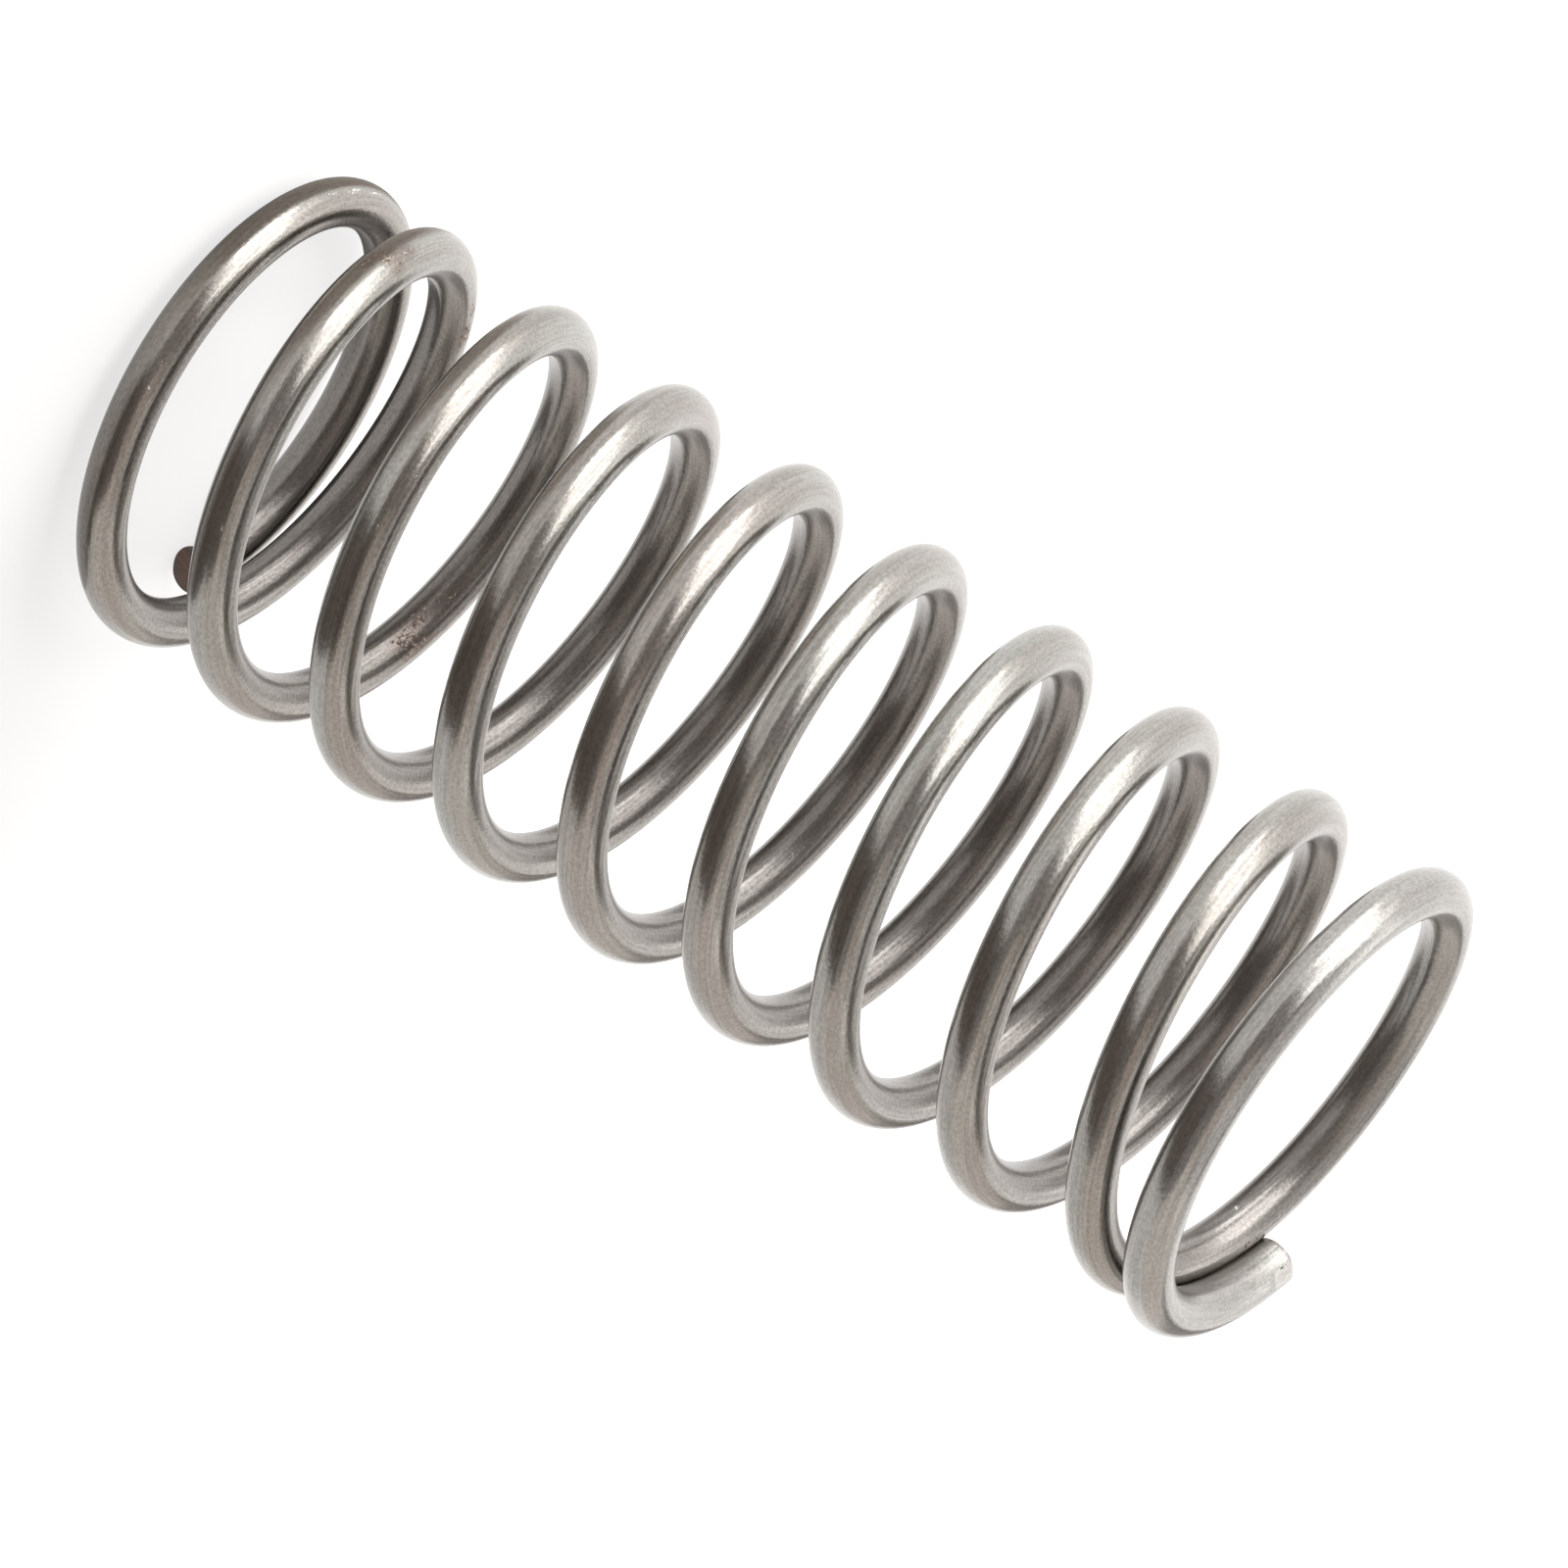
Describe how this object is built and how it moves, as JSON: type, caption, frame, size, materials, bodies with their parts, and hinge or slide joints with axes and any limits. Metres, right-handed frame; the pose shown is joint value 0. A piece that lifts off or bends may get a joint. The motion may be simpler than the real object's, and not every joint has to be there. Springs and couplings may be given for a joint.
{
  "type": "compression spring",
  "caption": "Small right-hand compression spring, cold coiled from round steel wire in one piece, with closed, unground ends and square-cut tips.",
  "frame": {"origin": "centre of the lower end turn on the coil's axis, at the surface that the spring stands on", "axes": "+Z along the coil's axis, from the lower end to the upper end; +X towards the lower cut tip"},
  "size_m": [0.0131, 0.0124, 0.0334],
  "materials": {
    "spring_steel": "cold-drawn steel wire, satin, with lengthwise drawing marks, a thin brownish oxide and a few small rust spots"
  },
  "bodies": {
    "root": {"coil_spring": "spring_steel"}
  },
  "joints": []
}
